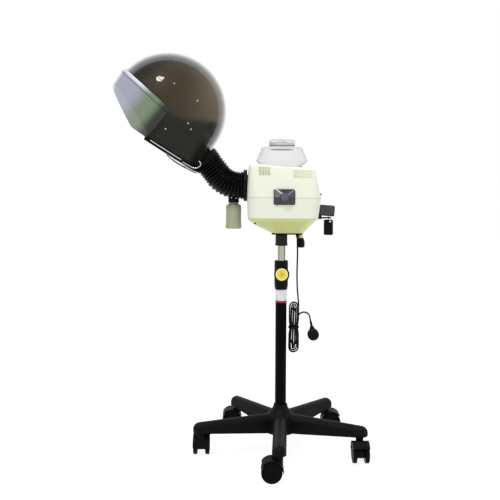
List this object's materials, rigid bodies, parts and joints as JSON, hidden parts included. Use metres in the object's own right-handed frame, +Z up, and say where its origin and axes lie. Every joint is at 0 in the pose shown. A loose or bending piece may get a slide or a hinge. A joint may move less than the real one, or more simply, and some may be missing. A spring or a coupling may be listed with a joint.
{
  "type": "hair steamer",
  "caption": "Standing hair steamer: a swivelling tinted hood on a ribbed steam hose, a cream boiler housing with a clear water jar, a height-adjustable column and a star base on casters.",
  "frame": {"origin": "on the floor, under the column's axis", "axes": "+Z up, -Y towards the control plate's side, -X towards the hood"},
  "size_m": [0.7911, 0.5159, 1.244],
  "materials": {
    "black_nylon": "satin",
    "black_paint": "satin",
    "black_plastic": "satin",
    "natural_plastic": "satin",
    "yellow_plastic": "gloss",
    "steel": "satin",
    "pole_chrome": "polished",
    "cream_shell": "gloss",
    "slate_plastic": "gloss",
    "copper_sheath": "satin",
    "seal_rubber": "matt",
    "hose_rubber": "satin",
    "cord_rubber": "satin",
    "grey_plastic": "satin",
    "clear_plastic": "gloss",
    "olive_plastic": "gloss",
    "smoke_plastic": "gloss",
    "brown_plastic": "gloss",
    "dark_green_plastic": "gloss",
    "tinted_plastic": "gloss",
    "wheel_plastic": "satin"
  },
  "bodies": {
    "stand": {"star_base": "black_nylon", "column_tube": "black_paint", "clamp_collar": "black_plastic", "pole_bush": "natural_plastic"},
    "clamp": {"clamp_knob": "black_plastic", "knob_disc": "yellow_plastic", "clamp_screw": "steel"},
    "mast": {"pole": "pole_chrome"},
    "head": {"pole_socket": "black_plastic", "mount_plate": "black_paint", "housing_lower": "cream_shell", "housing_upper": "cream_shell", "control_plate": "slate_plastic", "timer_unit": "steel", "boiler_tank": "steel", "heater_element": "copper_sheath", "tank_seal": "seal_rubber", "hose_collar": "black_plastic", "steam_hose": "hose_rubber", "elbow_bracket": "steel", "drip_neck": "black_plastic", "drain_spout": "natural_plastic", "cord_gland": "black_plastic", "side_grip": "grey_plastic", "supply_cord": "cord_rubber", "cord_hank": "cord_rubber", "hank_tie": "cord_rubber", "plug_lead": "cord_rubber", "mains_plug": "black_plastic"},
    "timer": {"timer_knob": "slate_plastic"},
    "button": {"power_button": "black_plastic"},
    "jar": {"water_jar": "clear_plastic"},
    "cap": {"jar_cap": "clear_plastic"},
    "cup": {"drip_cup": "olive_plastic"},
    "drain_plug": {"drain_cap": "black_plastic"},
    "tag": {"hang_tag": "black_plastic"},
    "hood": {"hood_dome": "smoke_plastic", "inner_bowl": "brown_plastic", "hood_skirt": "dark_green_plastic", "rim_ring": "black_plastic", "hood_neck": "black_plastic", "hood_arm": "steel", "rim_wires": "pole_chrome", "visor_pivots": "pole_chrome"},
    "visor": {"visor": "tinted_plastic"},
    "caster_1": {"caster_hood_1": "black_nylon", "caster_stem_1": "steel"},
    "wheels_1": {"caster_wheels_1": "wheel_plastic"},
    "caster_2": {"caster_hood_2": "black_nylon", "caster_stem_2": "steel"},
    "wheels_2": {"caster_wheels_2": "wheel_plastic"},
    "caster_3": {"caster_hood_3": "black_nylon", "caster_stem_3": "steel"},
    "wheels_3": {"caster_wheels_3": "wheel_plastic"},
    "caster_4": {"caster_hood_4": "black_nylon", "caster_stem_4": "steel"},
    "wheels_4": {"caster_wheels_4": "wheel_plastic"},
    "caster_5": {"caster_hood_5": "black_nylon", "caster_stem_5": "steel"},
    "wheels_5": {"caster_wheels_5": "wheel_plastic"}
  },
  "joints": [
    {"name": "clamp_turn", "type": "hinge", "parent": "stand", "child": "clamp", "pos_m": [0, -0.035, 0.554], "axis": [0, -1, 0], "range_deg": [-180, 180]},
    {"name": "height_slide", "type": "slide", "parent": "stand", "child": "mast", "axis": [0, 0, 1], "range_m": [-0.045, 0.25]},
    {"name": "head_turn", "type": "hinge", "parent": "mast", "child": "head", "pos_m": [0, 0, 0.66], "axis": [0, 0, 1], "range_deg": [-15, 150]},
    {"name": "timer_turn", "type": "hinge", "parent": "head", "child": "timer", "pos_m": [0.0045, -0.105, 0.795], "axis": [0, 1, 0], "range_deg": [0, 300]},
    {"name": "button_press", "type": "slide", "parent": "head", "child": "button", "axis": [-1, 0, 0], "range_m": [0, 0.0025], "stiffness_N_per_m": 300},
    {"name": "jar_lift", "type": "slide", "parent": "head", "child": "jar", "axis": [0, 0, 1], "range_m": [0, 0.06]},
    {"name": "cap_lift", "type": "slide", "parent": "jar", "child": "cap", "axis": [0, 0, 1], "range_m": [0, 0.045]},
    {"name": "cup_pull", "type": "slide", "parent": "head", "child": "cup", "axis": [0, 0, -1], "range_m": [0, 0.04]},
    {"name": "drain_pull", "type": "slide", "parent": "head", "child": "drain_plug", "axis": [0, 0, -1], "range_m": [0, 0.03]},
    {"name": "tag_swing", "type": "hinge", "parent": "head", "child": "tag", "pos_m": [0.1475, 0, 0.728], "axis": [1, 0, 0], "range_deg": [-60, 60]},
    {"name": "hood_tilt", "type": "hinge", "parent": "head", "child": "hood", "pos_m": [-0.1684, 0, 0.8353], "axis": [0, 1, 0], "range_deg": [-20, 15], "deforming": ["steam_hose"]},
    {"name": "visor_flip", "type": "hinge", "parent": "hood", "child": "visor", "pos_m": [-0.3551, 0, 1.0621], "axis": [0, 1, 0], "range_deg": [0, 60]},
    {"name": "caster_swivel_1", "type": "hinge", "parent": "stand", "child": "caster_1", "pos_m": [-0.01324, -0.25265, 0.08], "axis": [0, 0, 1], "continuous": true},
    {"name": "wheel_roll_1", "type": "hinge", "parent": "caster_1", "child": "wheels_1", "pos_m": [-0.03424, -0.25265, 0.03], "axis": [0, 1, 0], "continuous": true},
    {"name": "caster_swivel_2", "type": "hinge", "parent": "stand", "child": "caster_2", "pos_m": [0.2362, -0.09067, 0.08], "axis": [0, 0, 1], "continuous": true},
    {"name": "wheel_roll_2", "type": "hinge", "parent": "caster_2", "child": "wheels_2", "pos_m": [0.2362, -0.11167, 0.03], "axis": [-1, 0, 0], "continuous": true},
    {"name": "caster_swivel_3", "type": "hinge", "parent": "stand", "child": "caster_3", "pos_m": [0.15922, 0.19662, 0.08], "axis": [0, 0, 1], "continuous": true},
    {"name": "wheel_roll_3", "type": "hinge", "parent": "caster_3", "child": "wheels_3", "pos_m": [0.18022, 0.19662, 0.03], "axis": [0, -1, 0], "continuous": true},
    {"name": "caster_swivel_4", "type": "hinge", "parent": "stand", "child": "caster_4", "pos_m": [-0.13779, 0.21218, 0.08], "axis": [0, 0, 1], "continuous": true},
    {"name": "wheel_roll_4", "type": "hinge", "parent": "caster_4", "child": "wheels_4", "pos_m": [-0.15879, 0.21218, 0.03], "axis": [0, 1, 0], "continuous": true},
    {"name": "caster_swivel_5", "type": "hinge", "parent": "stand", "child": "caster_5", "pos_m": [-0.24438, -0.06548, 0.08], "axis": [0, 0, 1], "continuous": true},
    {"name": "wheel_roll_5", "type": "hinge", "parent": "caster_5", "child": "wheels_5", "pos_m": [-0.24438, -0.04448, 0.03], "axis": [1, 0, 0], "continuous": true}
  ]
}
